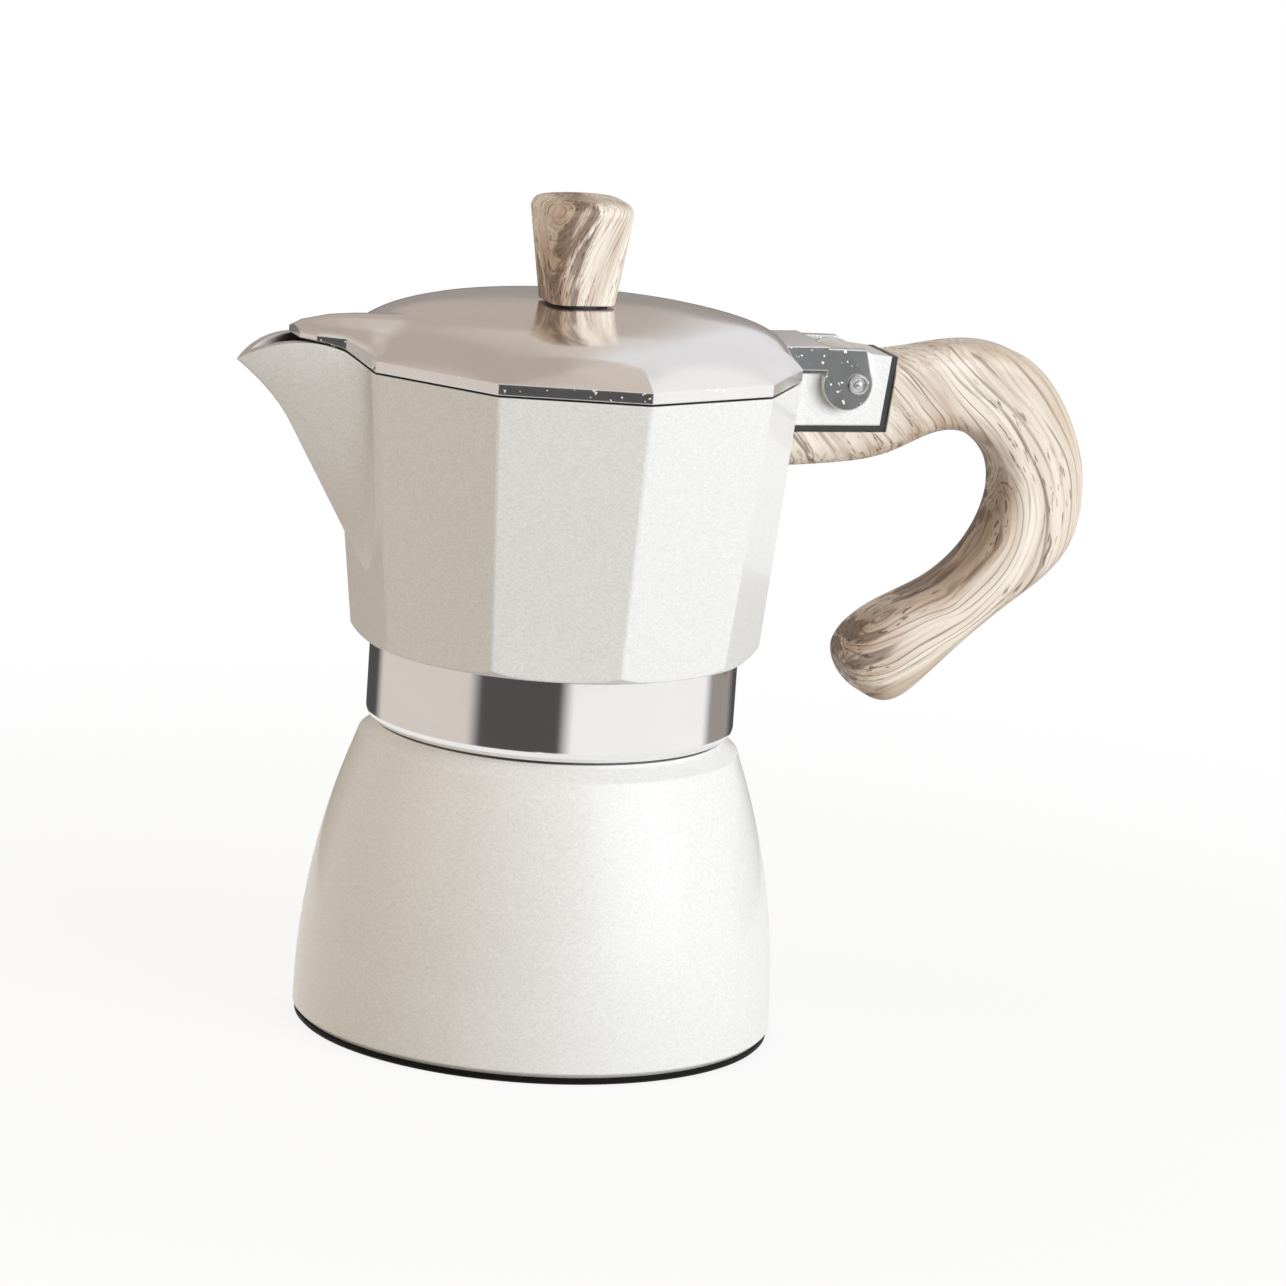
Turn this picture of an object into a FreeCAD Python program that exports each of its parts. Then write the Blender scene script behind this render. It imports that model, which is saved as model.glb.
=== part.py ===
import FreeCAD, Part
import math
import os

os.makedirs("parts", exist_ok=True)

# Stove-top coffee maker (moka pot), in millimetres.
# The pot stands on z = 0 with its axis on Z. The handle points along +X and the spout along -X.

# Clearances
thread_clearance = 0.35      # boiler neck to collar bore, radial
pin_clearance = 0.08         # hinge pin to lid ears, radial
stem_clearance = 0.08        # valve stem to its guide hole, radial
arm_clearance = 0.3          # lid ears to hinge block, each side
lid_gap = 0.4                # lid to chamber rim
basket_clearance = 1.0       # funnel basket to boiler neck, radial
gasket_clearance = 0.5       # gasket to collar bore, radial
collar_gap = 0.4             # collar to boiler neck step, axial
overlap = 2.0                # how far a pad runs into the wall that carries it
near = 0.01                  # closeness when an edge or face is picked by its place

# Boiler. The neck sets the radii above the bell, and the shoulder sets the heights.
boiler_radius = 45.0
boiler_edge = 0.9            # bevel at the foot of the wall
bell_start = 4.0             # height where the wall starts to lean in
neck_radius = 31.4
shoulder_radius = neck_radius + 5.3
shoulder_height = 51.2
bevel_radius = neck_radius + 4.2
bevel_height = shoulder_height + 3.2
neck_step_radius = neck_radius + 1.2
neck_step_height = bevel_height + 2.2
neck_step_band = 0.6
neck_top = neck_step_height + 9.4
neck_wall = 3.0
boiler_wall = 2.8
boiler_floor = 3.0           # thickness over the base plate spigot

# Base plate
base_plate_radius = boiler_radius - 0.4
base_plate_height = 1.2
base_plate_edge = 0.4
base_spigot_radius = boiler_radius - 11.0
base_spigot_height = 1.2
groove_radii = (12.0, 22.0, 32.0)
groove_width = 1.4
groove_depth = 0.5

# Safety valve, on an axis along +Y
valve_height = shoulder_height - 18.2
valve_pad_radius = 8.4
valve_pad_stand = 1.2
valve_pad_depth = 6.0
valve_thread_radius = 5.0
valve_shank_length = 8.2
valve_hex_flats = 13.5
valve_hex_height = 4.5
valve_hex_bevel = 0.8
valve_end_wall = 1.6
valve_bore_radius = 3.3
valve_seal_radius = 7.4
valve_seal_height = 1.0
valve_seat_height = 1.5
valve_port_radius = 1.5
plunger_head_radius = 2.6
plunger_head_height = 2.4
plunger_stem_radius = 1.1
plunger_proud = 1.0
spring_radius = 2.0
spring_wire_radius = 0.3
spring_turns = 5
spring_samples = 24          # points measured on each turn

# Funnel and its perforated disc
funnel_wall = 0.9
funnel_rim_radius = neck_radius - 0.8
basket_depth = 20.0
funnel_cone_height = 9.5
stem_radius = 4.6
stem_bottom = 9.0
disc_height = 0.8
disc_hole_radius = 1.1
disc_hole_step = 6.4
disc_hole_rings = 3

# Gasket and filter plate
gasket_height = 3.4
gasket_inner_radius = neck_radius - 6.4
filter_radius = neck_radius - 3.8
filter_height = 0.8
filter_hole_radius = 1.1
filter_hole_step = 6.4
filter_hole_rings = 3

# Collar
collar_radius = neck_radius + 3.0
collar_round = 2.0
collar_chamfer = 0.6
collar_bottom = neck_step_height + neck_step_band + collar_gap
collar_top = neck_top + funnel_wall + gasket_height + 2.7

# Upper chamber. It stands on the collar, and its rim carries the spout, the hinge and the lid.
facets = 10
foot_apothem = collar_radius + 2.1         # facet distance from the axis at the foot
rim_apothem = foot_apothem + 5.9           # the same at the rim
handle_rim_apothem = foot_apothem + 1.5    # the handle facet stays nearly upright
foot_height = collar_top + 2.6             # height where foot_apothem holds
rim_height = collar_top + 53.0
facet_round = 1.2
foot_radius = collar_radius + 0.3
foot_round = 4.6
chamber_wall = 2.6
floor_top = collar_top + 3.5
floor_cove = 3.0
brew_radius = neck_radius - 7.4            # hollow above the filter plate
brew_height = 4.0

# Coffee column
boss_radius = 9.0
boss_height = 4.0
column_radius = 6.2
column_top_radius = 5.0
column_straight = 8.0
column_bore_radius = 3.3
column_top = rim_height - 14.0
column_cap = 2.0
port_width = 4.0
port_height = 5.0

# Spout, with (x, z) points along its ridge and its lip
ridge_foot_height = rim_height - 39.5      # where the ridge leaves the spout facet
ridge_bend = (-rim_apothem - 11.4, rim_height - 11.4)
ridge_flare_radius = 16.4                  # outward bend of the ridge above ridge_bend
spout_top = rim_height + 5.0
spout_inset = 1.0                          # sides start this far inside the facet corners
spout_crease = 0.3                         # side crease, as a share of the way from facet to ridge
spout_wall = 2.2
ridge_wall = 4.5                           # metal behind the ridge, measured along X
spout_tip = (-rim_apothem - 22.2, rim_height + 0.2)
lip_crown = (-rim_apothem - 13.6, rim_height + 4.2)
lip_root = (-rim_apothem - 4.2, rim_height + 3.1)
lip_start = 0.2 - rim_apothem              # x where the rim starts to climb to the spout
spout_reach = 12.0                         # length cut away in front of the tip
spout_steps = 5                            # sections in the flared part
channel_foot_height = rim_height - 32.0    # lowest point of the pouring channel

# Hinge
pin_x = handle_rim_apothem + 15.5
pin_z = rim_height - 2.2
pin_radius = 1.5
pin_head_radius = 2.4
pin_head_height = 0.7
block_half = 6.5
block_bottom = rim_height - 10.4
block_end_bottom = pin_x + 5.9
block_end_top = pin_x + 7.4
block_back = rim_height + 2.7
block_front = rim_height - 0.6
knuckle_radius = 6.3

# Lid
lid_band = 2.1                             # height of the upright rim
lid_dome_top = rim_height + 11.1
lid_wall = 1.8
lid_seat_radius = 7.2                      # flat under the knob
lid_rings = (                              # (radius, height) up the dome
    (rim_apothem - 3.4, rim_height + 5.8),
    (rim_apothem - 12.4, rim_height + 9.2),
    (rim_apothem - 25.4, rim_height + 10.7),
)
ear_thickness = 2.0
ear_radius = 4.9
ear_x = pin_x - 1.9
ear_z = rim_height - 2.3
arm_top = rim_height + 4.9
arm_end = pin_x + 1.4
arm_drop = 0.6                             # fall of the ears' top edge towards the pin
web_end = pin_x - 6.2
web_start = rim_apothem - 9.4

# Lid hood over the spout: reach past the facet, half width, edge and crown height over the rim
hood_sections = (
    (-14.4, 13.0, 4.0, 8.6),
    (-0.8, 12.6, 3.0, 8.7),
    (4.2, 8.4, 5.6, 8.5),
    (9.2, 6.6, 5.8, 7.6),
    (11.5, 3.6, 5.9, 6.7),
)

# Knob
knob_washer_radius = 5.8
knob_washer_height = 0.5
knob_bottom_side = 12.4
knob_top_side = 17.4
knob_bottom_corner = 3.0
knob_top_corner = 4.0
knob_height = 19.6
knob_crown_radius = 60.0
knob_edge_round = 2.2
knob_screw_radius = 1.9
knob_screw_head_radius = 3.6
knob_screw_head_height = 2.2
knob_screw_depth = 10.0

# Handle
seat_thickness = 1.2
handle_half = 7.0
handle_round = 4.2
handle_tongue = 7.0          # height of the tongue under the hinge block
handle_screw_x = pin_x - 7.0
handle_screw_radius = 1.9
handle_screw_head_radius = 3.4
handle_screw_head_height = 2.0
handle_screw_recess = 1.0
handle_screw_reach = 6.0     # depth in the hinge block
handle_curve = (             # outline of the grip, (x, z) from the hinge pin
    (17.5, 6.2), (26.5, 7.0), (35.9, 4.5), (44.6, -4.6), (49.5, -18.8), (47.2, -32.8),
    (35.9, -43.4), (20.5, -56.8), (12.1, -61.9), (5.7, -58.4), (3.3, -52.2), (8.1, -45.8),
    (21.0, -39.0), (30.9, -28.0), (31.4, -15.5), (22.1, -9.6), (9.7, -13.7), (-3.5, -16.0),
)

V = FreeCAD.Vector
Z = V(0, 0, 1)
Y = V(0, 1, 0)


# Shared shapes

def wire_xz(points):
    """Closed outline in the XZ plane from (x, z) pairs."""
    corners = [V(x, 0, z) for x, z in points]
    return Part.makePolygon(corners + corners[:1])


def turned(points):
    """Body of revolution about Z from (radius, height) pairs."""
    return Part.Face(wire_xz(points)).revolve(V(), Z, 360)


def slab_xz(points, y_from, y_to):
    """Plate with an outline in the XZ plane, between two Y values."""
    face = Part.Face(wire_xz(points))
    face.translate(V(0, y_from, 0))
    return face.extrude(V(0, y_to - y_from, 0))


def rod_y(radius, x, z, y_from, y_to):
    return Part.makeCylinder(radius, y_to - y_from, V(x, y_from, z), Y)


def rod_z(radius, z_from, z_to, x=0.0):
    return Part.makeCylinder(radius, z_to - z_from, V(x, 0, z_from))


def ring_holes(radius, step, rings, z_from, z_to):
    """Round holes in rings about the axis, six more in each ring, with one in the middle."""
    holes = [rod_z(radius, z_from, z_to)]
    for ring in range(1, rings + 1):
        for index in range(6 * ring):
            angle = 2 * math.pi * index / (6 * ring)
            hole = rod_z(radius, z_from, z_to)
            hole.translate(V(ring * step * math.cos(angle), ring * step * math.sin(angle), 0))
            holes.append(hole)
    return holes


def joined(shape, *more):
    return shape.fuse(list(more)).removeSplitter()


# Base plate and boiler

boiler_foot = base_plate_height
bell_drop = boiler_radius - shoulder_radius
bell_rise = shoulder_height - bell_start
bell_curve = (bell_rise ** 2 + bell_drop ** 2) / (2 * bell_drop)


def bell_radius_at(z, inset=0.0):
    """Boiler wall radius at a height, on the bell curve moved in by inset."""
    curve = bell_curve - inset
    return boiler_radius - bell_curve + math.sqrt(curve ** 2 - (z - bell_start) ** 2)


def bell_arc(z_from, z_to, inset):
    places = (z_from, (z_from + z_to) / 2, z_to)
    return Part.Arc(*[V(bell_radius_at(z, inset), 0, z) for z in places]).toShape()


def make_base_plate():
    top = base_plate_height + base_spigot_height
    plate = turned([
        (0, 0),
        (base_plate_radius - base_plate_edge, 0),
        (base_plate_radius, base_plate_edge),
        (base_plate_radius, base_plate_height),
        (base_spigot_radius, base_plate_height),
        (base_spigot_radius, top),
        (0, top),
    ])
    grooves = []
    for radius in groove_radii:
        outer = rod_z(radius + groove_width / 2, 0, groove_depth)
        grooves.append(outer.cut(rod_z(radius - groove_width / 2, 0, groove_depth)))
    return plate.cut(grooves)


boiler_inner_floor = base_plate_height + base_spigot_height + boiler_floor
neck_bore = neck_radius - neck_wall
shoulder_inner = shoulder_height - boiler_wall / 2
bell_foot = boiler_foot + boiler_edge


def make_boiler():
    outer_arc = bell_arc(bell_start, shoulder_height, 0.0)
    inner_arc = bell_arc(boiler_inner_floor, shoulder_inner, boiler_wall)
    outside = [
        (shoulder_radius, shoulder_height),
        (bevel_radius, bevel_height),
        (neck_step_radius, neck_step_height),
        (neck_step_radius, neck_step_height + neck_step_band),
        (neck_radius, neck_step_height + neck_step_band),
        (neck_radius, neck_top),
        (neck_bore, neck_top),
        (neck_bore, bevel_height),
        (bell_radius_at(shoulder_inner, boiler_wall), shoulder_inner),
    ]
    underside = [
        (bell_radius_at(boiler_inner_floor, boiler_wall), boiler_inner_floor),
        (0, boiler_inner_floor),
        (0, boiler_foot + base_spigot_height),
        (base_spigot_radius, boiler_foot + base_spigot_height),
        (base_spigot_radius, boiler_foot),
        (boiler_radius - boiler_edge, boiler_foot),
        (boiler_radius, bell_foot),
        (boiler_radius, bell_start),
    ]
    edges = [outer_arc, inner_arc]
    for path in (outside, underside):
        corners = [V(x, 0, z) for x, z in path]
        edges += [Part.makeLine(a, b) for a, b in zip(corners, corners[1:])]
    profile = Part.Wire(Part.__sortEdges__(edges))
    shell = Part.Face(profile).revolve(V(), Z, 360)
    pad = rod_y(valve_pad_radius, 0, valve_height, valve_face - valve_pad_depth, valve_face)
    drill = rod_y(valve_thread_radius, 0, valve_height, valve_face - 2 * valve_pad_depth, valve_face)
    spot_face = rod_y(valve_pad_radius, 0, valve_height, valve_face, valve_face + valve_pad_depth)
    return joined(shell, pad).cut([drill, spot_face])


# Safety valve

valve_face = bell_radius_at(valve_height) + valve_pad_stand
valve_flange = valve_face + valve_seal_height
valve_inner_end = valve_flange - valve_shank_length
valve_outer_end = valve_flange + valve_hex_height
plunger_start = valve_inner_end + valve_seat_height
spring_start = plunger_start + plunger_head_height
spring_end = valve_outer_end - valve_end_wall


def make_valve_seal():
    ring = rod_y(valve_seal_radius, 0, valve_height, valve_face, valve_flange)
    return ring.cut(rod_y(valve_thread_radius, 0, valve_height, valve_face, valve_flange))


def make_valve_body():
    corner = valve_hex_flats / math.sqrt(3)
    angles = [math.radians(60 * k) for k in range(6)]
    points = [V(corner * math.cos(a), valve_flange, valve_height + corner * math.sin(a)) for a in angles]
    hexagon = Part.Face(Part.makePolygon(points + points[:1])).extrude(V(0, valve_hex_height, 0))
    bevel = Part.makeCone(
        corner + valve_hex_height - valve_hex_bevel,
        corner - valve_hex_bevel,
        valve_hex_height,
        V(0, valve_flange, valve_height),
        Y,
    )
    shank = rod_y(valve_thread_radius, 0, valve_height, valve_inner_end, valve_flange)
    body = joined(hexagon.common(bevel), shank)
    bore = rod_y(valve_bore_radius, 0, valve_height, valve_inner_end, spring_end)
    guide = rod_y(plunger_stem_radius + stem_clearance, 0, valve_height, spring_end, valve_outer_end)
    return body.cut([bore, guide])


def make_valve_seat():
    ring = rod_y(valve_bore_radius, 0, valve_height, valve_inner_end, plunger_start)
    return ring.cut(rod_y(valve_port_radius, 0, valve_height, valve_inner_end, plunger_start))


def make_valve_plunger():
    head = rod_y(plunger_head_radius, 0, valve_height, plunger_start, spring_start)
    stem = rod_y(plunger_stem_radius, 0, valve_height, spring_start, valve_outer_end + plunger_proud)
    return joined(head, stem)


def arc_between(start, end, tangent):
    """Arc from start to end that leaves start along the tangent."""
    chord = end - start
    along = V(chord).normalize()
    side = tangent - along * tangent.dot(along)
    bend = math.acos(max(-1.0, min(1.0, tangent.dot(along))))
    middle = (start + end) * 0.5 + side.normalize() * (chord.Length / 2 * math.tan(bend / 2))
    return Part.Arc(start, middle, end).toShape()


def coil_point(turn, pitch):
    angle = 2 * math.pi * turn
    return V(spring_radius * math.cos(angle), pitch * turn, -spring_radius * math.sin(angle))


def coil_tangent(turn, pitch):
    angle = 2 * math.pi * turn
    round_step = 2 * math.pi * spring_radius
    return V(-round_step * math.sin(angle), pitch, -round_step * math.cos(angle)).normalize()


def coil_path(pitch):
    """Two arcs that share a tangent for each half turn of the coil."""
    arcs = []
    for half in range(2 * spring_turns):
        start, end = coil_point(half / 2, pitch), coil_point((half + 1) / 2, pitch)
        leave, arrive = coil_tangent(half / 2, pitch), coil_tangent((half + 1) / 2, pitch)
        chord = end - start
        spread = 2 * (1 - leave.dot(arrive))
        pull = chord.dot(leave + arrive)
        reach = (math.sqrt(pull ** 2 + spread * chord.dot(chord)) - pull) / spread
        meet = (start + end + (leave - arrive) * reach) * 0.5
        arcs.append(arc_between(start, meet, leave))
        arcs.append(arc_between(meet, end, (meet - (start + leave * reach)).normalize()))
    return Part.Wire(arcs)


def make_valve_spring():
    length = spring_end - spring_start - 2 * spring_wire_radius
    pitch = length / spring_turns
    count = spring_samples * spring_turns
    points = [coil_point(spring_turns * index / count, pitch) for index in range(count + 1)]
    pairs = [(i, j) for i in range(count + 1) for j in range(i + spring_samples // 2, count + 1)]
    gap = min((points[i] - points[j]).Length for i, j in pairs) - 2 * spring_wire_radius
    print("spring: least gap to itself %.2f mm" % gap)
    ring = Part.Wire(Part.makeCircle(spring_wire_radius, coil_point(0, pitch), coil_tangent(0, pitch)))
    coil = coil_path(pitch).makePipeShell([ring], True, False)
    coil.translate(V(0, spring_start + spring_wire_radius, valve_height))
    return coil


# Funnel, seal and collar

basket_radius = neck_bore - basket_clearance
basket_inner = basket_radius - funnel_wall
basket_bottom = neck_top - basket_depth
cone_foot = basket_bottom - funnel_cone_height
funnel_top = neck_top + funnel_wall
gasket_top = funnel_top + gasket_height
collar_bore = neck_radius + thread_clearance


def make_funnel():
    return turned([
        (stem_radius, stem_bottom),
        (stem_radius, cone_foot),
        (basket_radius, basket_bottom),
        (basket_radius, neck_top),
        (funnel_rim_radius, neck_top),
        (funnel_rim_radius, funnel_top),
        (basket_inner, funnel_top),
        (basket_inner, basket_bottom + funnel_wall),
        (stem_radius - funnel_wall, cone_foot + funnel_wall),
        (stem_radius - funnel_wall, stem_bottom),
    ])


def make_funnel_disc():
    bottom = basket_bottom + funnel_wall
    disc = rod_z(basket_inner, bottom, bottom + disc_height)
    holes = ring_holes(disc_hole_radius, disc_hole_step, disc_hole_rings, bottom, bottom + disc_height)
    return disc.cut(holes)


def make_gasket():
    outer = collar_bore - gasket_clearance
    ledge = gasket_top - filter_height
    return turned([
        (gasket_inner_radius, funnel_top),
        (outer, funnel_top),
        (outer, gasket_top),
        (filter_radius, gasket_top),
        (filter_radius, ledge),
        (gasket_inner_radius, ledge),
    ])


def make_filter_plate():
    bottom = gasket_top - filter_height
    disc = rod_z(filter_radius, bottom, gasket_top)
    return disc.cut(ring_holes(filter_hole_radius, filter_hole_step, filter_hole_rings, bottom, gasket_top))


def make_collar():
    ring = turned([
        (collar_bore + collar_chamfer, collar_bottom),
        (collar_radius, collar_bottom),
        (collar_radius, collar_top),
        (collar_bore, collar_top),
        (collar_bore, collar_bottom + collar_chamfer),
    ])
    outer_edges = [
        edge for edge in ring.Edges
        if edge.BoundBox.ZMax < collar_bottom + near and edge.BoundBox.XMax > collar_radius - near
    ]
    return ring.makeFillet(collar_round, outer_edges)


# Upper chamber

def blend(z, low, high):
    """Straight-line value at height z between the foot and the rim."""
    return low + (high - low) * (z - foot_height) / (rim_height - foot_height)


def facet_corners(z, inset=0.0):
    """Corners of the faceted outline at height z, moved in by inset."""
    step = 2 * math.pi / facets
    places = []
    for index in range(facets):
        rim = handle_rim_apothem if index == 0 else rim_apothem
        places.append(blend(z, foot_apothem, rim) - inset)
    corners = []
    for index in range(facets):
        here = places[index]
        following = places[(index + 1) % facets]
        turn = (following - here * math.cos(step)) / math.sin(step)
        angle = step * index
        corners.append(V(
            here * math.cos(angle) - turn * math.sin(angle),
            here * math.sin(angle) + turn * math.cos(angle),
            z,
        ))
    return corners


def faceted(sections):
    """Solid through faceted outlines given as (z, inset) pairs."""
    wires = []
    for z, inset in sections:
        corners = facet_corners(z, inset)
        wires.append(Part.makePolygon(corners + corners[:1]))
    return Part.makeLoft(wires, True, True)


def upright_edges(shape):
    return [edge for edge in shape.Edges if edge.BoundBox.ZLength > near]


def straight_ridge_x(z):
    """Front line of the spout without its flare."""
    foot_x = -blend(ridge_foot_height, foot_apothem, rim_apothem)
    slope = (ridge_bend[0] - foot_x) / (ridge_bend[1] - ridge_foot_height)
    return foot_x + slope * (z - ridge_foot_height)


def ridge_x(z):
    """Front ridge of the spout: straight, then flaring out on a curve."""
    flare = max(0.0, z - ridge_bend[1]) ** 2 / (2 * ridge_flare_radius)
    return straight_ridge_x(z) - flare


def spout_section(z, wall, nose):
    """Outline of the spout at height z, moved in by a side wall and a nose thickness."""
    facet = blend(z, foot_apothem, rim_apothem)
    side_y = facet * math.tan(math.pi / facets) - spout_inset - wall
    root_x = -facet + overlap
    crease_x = root_x + spout_crease * (straight_ridge_x(z) - root_x) + wall
    crease_y = side_y * (1 - spout_crease)
    half = [(root_x + overlap + wall, side_y), (root_x + wall, side_y), (crease_x, crease_y)]
    points = [V(x, -y, z) for x, y in half]
    points.append(V(ridge_x(z) + nose, 0, z))
    points += [V(x, y, z) for x, y in reversed(half)]
    return Part.makePolygon(points + points[:1])


def spout_wedge(start, wall, nose):
    """Straight lower wedge and flared upper beak of the spout."""
    lower = [spout_section(z, wall, nose) for z in (start, ridge_bend[1])]
    step = (spout_top - ridge_bend[1]) / spout_steps
    heights = [ridge_bend[1] + step * index for index in range(spout_steps + 1)]
    upper = [spout_section(z, wall, nose) for z in heights]
    return Part.makeLoft(lower, True, True).fuse(Part.makeLoft(upper, True, False))


def lip_line(lift):
    """Edges of the rim line from the chamber to the spout tip, raised by lift."""
    start = V(lip_start, 0, rim_height + lift)
    root = V(lip_root[0], 0, lip_root[1] + lift)
    crown = V(lip_crown[0], 0, lip_crown[1] + lift)
    tip = V(spout_tip[0], 0, spout_tip[1] + lift)
    return [Part.makeLine(start, root), Part.Arc(root, crown, tip).toShape()]


def beyond_lip(lift, far_z):
    """Everything between the raised rim line and the height far_z, across the spout."""
    low = rim_height + lift
    edges = lip_line(lift)
    tip = V(spout_tip[0], 0, spout_tip[1] + lift)
    path = [
        tip,
        V(spout_tip[0] - spout_reach, 0, spout_tip[1] + lift),
        V(spout_tip[0] - spout_reach, 0, far_z),
        V(0, 0, far_z),
        V(0, 0, low),
        V(lip_start, 0, low),
    ]
    edges += [Part.makeLine(a, b) for a, b in zip(path, path[1:])]
    face = Part.Face(Part.Wire(Part.__sortEdges__(edges)))
    face.translate(V(0, -boiler_radius, 0))
    return face.extrude(V(0, 2 * boiler_radius, 0))


def make_hinge_block():
    slab = slab_xz([
        (handle_rim_apothem - 2 * overlap, block_bottom),
        (block_end_bottom, block_bottom),
        (block_end_top, block_back),
        (pin_x + knuckle_radius / 2, pin_z + knuckle_radius * math.sqrt(3) / 2),
        (pin_x, pin_z),
        (pin_x - knuckle_radius, block_front),
        (handle_rim_apothem - 2 * overlap, block_front),
    ], -block_half, block_half)
    knuckle = rod_y(knuckle_radius, pin_x, pin_z, -block_half, block_half)
    return joined(slab, knuckle)


def foot_envelope():
    """Round body that rounds off the facets at the foot of the chamber."""
    turn = math.radians(45)
    corner = V(foot_radius, 0, collar_top)
    shoulder = V(foot_radius + foot_round, 0, collar_top + foot_round)
    middle = corner + V(foot_round * math.sin(turn), 0, foot_round * (1 - math.cos(turn)))
    path = [
        shoulder,
        V(2 * boiler_radius, 0, shoulder.z),
        V(2 * boiler_radius, 0, rim_height),
        V(0, 0, rim_height),
        V(0, 0, collar_top),
        corner,
    ]
    edges = [Part.makeLine(a, b) for a, b in zip(path, path[1:])]
    edges.append(Part.Arc(corner, middle, shoulder).toShape())
    return Part.Face(Part.Wire(Part.__sortEdges__(edges))).revolve(V(), Z, 360)


def make_upper_chamber():
    body = faceted([(collar_top, 0.0), (rim_height, 0.0)])
    body = body.makeFillet(facet_round, upright_edges(body)).common(foot_envelope())
    beak = spout_wedge(ridge_foot_height, 0.0, 0.0).cut(beyond_lip(0.0, spout_top + overlap))
    spigot = rod_z(collar_bore, gasket_top, collar_top)
    boss = rod_z(boss_radius, floor_top, floor_top + boss_height)
    cavity = faceted([
        (floor_top, chamber_wall + floor_cove),
        (floor_top + floor_cove, chamber_wall),
        (rim_height, chamber_wall),
    ])
    channel = spout_wedge(channel_foot_height, spout_wall, ridge_wall)
    column_hole = rod_z(column_radius, gasket_top + brew_height, floor_top + boss_height)
    brew_space = turned([
        (0, gasket_top),
        (brew_radius, gasket_top),
        (column_radius, gasket_top + brew_height),
        (0, gasket_top + brew_height),
    ])
    shell = joined(body, beak, make_hinge_block(), spigot).cut([cavity, channel])
    shell = joined(shell, boss)
    pin_hole = rod_y(pin_radius, pin_x, pin_z, -block_half, block_half)
    screw_hole = rod_z(handle_screw_radius, block_bottom, block_bottom + handle_screw_reach, handle_screw_x)
    return shell.cut([column_hole, brew_space, pin_hole, screw_hole])


def make_column():
    foot = gasket_top + brew_height
    tube = turned([
        (0, foot),
        (column_radius, foot),
        (column_radius, floor_top + column_straight),
        (column_top_radius, column_top - column_cap),
        (column_top_radius - column_cap, column_top),
        (0, column_top),
    ])
    bore = rod_z(column_bore_radius, foot, column_top - column_cap)
    port = Part.makeBox(
        2 * column_radius,
        port_width,
        port_height,
        V(-column_radius, -port_width / 2, column_top - column_cap - port_height),
    )
    return tube.cut([bore, port])


# Lid

lid_bottom = rim_height + lid_gap
lid_rim_top = lid_bottom + lid_band


def rim_corners(z, inset):
    return [V(c.x, c.y, z) for c in facet_corners(rim_height, inset)]


def rim_wire(z, inset):
    corners = rim_corners(z, inset)
    return Part.makePolygon(corners + corners[:1])


def ring_wire(radius, z):
    """Circle cut into arcs at the bearings of the lid's corners."""
    bearings = [math.atan2(c.y, c.x) for c in rim_corners(z, 0.0)]
    arcs = []
    for start, end in zip(bearings, bearings[1:] + bearings[:1]):
        turn = (end - start) % (2 * math.pi)
        places = [start, start + turn / 2, start + turn]
        arcs.append(Part.Arc(*[V(radius * math.cos(a), radius * math.sin(a), z) for a in places]).toShape())
    return Part.Wire(arcs)


def lid_form(inset):
    """Upright faceted rim and the dome that runs from the facets to a round crown."""
    rim = Part.makeLoft([rim_wire(lid_bottom, inset), rim_wire(lid_rim_top, inset)], True, True)
    sections = [rim_wire(lid_rim_top, inset)]
    for radius, height in lid_rings + ((lid_seat_radius, lid_dome_top),):
        sections.append(ring_wire(radius - inset, height - inset))
    return rim, Part.makeLoft(sections, True, False)


def hood(inset):
    """Raised hood over the spout, through arched sections along X."""
    wires = []
    for reach, half, edge, crown in hood_sections:
        width = half - inset
        x = inset - rim_apothem - reach
        low = rim_height - overlap
        side = rim_height + edge - inset
        corners = [V(x, -width, low), V(x, width, low), V(x, width, side), V(x, -width, side)]
        sides = [
            Part.makeLine(corners[0], corners[1]),
            Part.makeLine(corners[1], corners[2]),
            Part.Arc(corners[2], V(x, 0, rim_height + crown - inset), corners[3]).toShape(),
            Part.makeLine(corners[3], corners[0]),
        ]
        wires.append(Part.Wire(sides))
    return Part.makeLoft(wires, True, True)


def make_ear(y_from, y_to):
    arm = slab_xz([
        (web_start, lid_bottom),
        (web_start, arm_top),
        (arm_end, arm_top - arm_drop),
        (ear_x + ear_radius, ear_z),
        (ear_x - ear_radius, ear_z),
        (web_end, lid_bottom),
    ], y_from, y_to)
    return joined(arm, rod_y(ear_radius, ear_x, ear_z, y_from, y_to))


def make_lid():
    ear_inner = block_half + arm_clearance
    ear_outer = ear_inner + ear_thickness
    web = slab_xz([
        (web_start, lid_bottom),
        (web_end, lid_bottom),
        (web_end, arm_top),
        (web_start, arm_top),
    ], -ear_outer, ear_outer)
    below_lip = beyond_lip(lid_gap, rim_height - 2 * overlap)
    rim, dome = lid_form(0.0)
    solid = joined(rim, dome, hood(0.0).cut(below_lip), web)
    inner_rim, inner_dome = lid_form(lid_wall)
    shell = solid.cut([inner_rim, inner_dome, hood(lid_wall)])
    shell = joined(shell, make_ear(-ear_outer, -ear_inner), make_ear(ear_inner, ear_outer))
    pin_hole = rod_y(pin_radius + pin_clearance, pin_x, pin_z, -ear_outer, ear_outer)
    screw_hole = rod_z(knob_screw_radius, screw_head_top, lid_dome_top)
    return shell.cut([pin_hole, screw_hole])


def make_hinge_pin():
    reach = block_half + arm_clearance + ear_thickness + arm_clearance
    shank = rod_y(pin_radius, pin_x, pin_z, -reach, reach)
    front_head = rod_y(pin_head_radius, pin_x, pin_z, -reach - pin_head_height, -reach)
    back_head = rod_y(pin_head_radius, pin_x, pin_z, reach, reach + pin_head_height)
    return joined(shank, front_head, back_head)


# Knob

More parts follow.
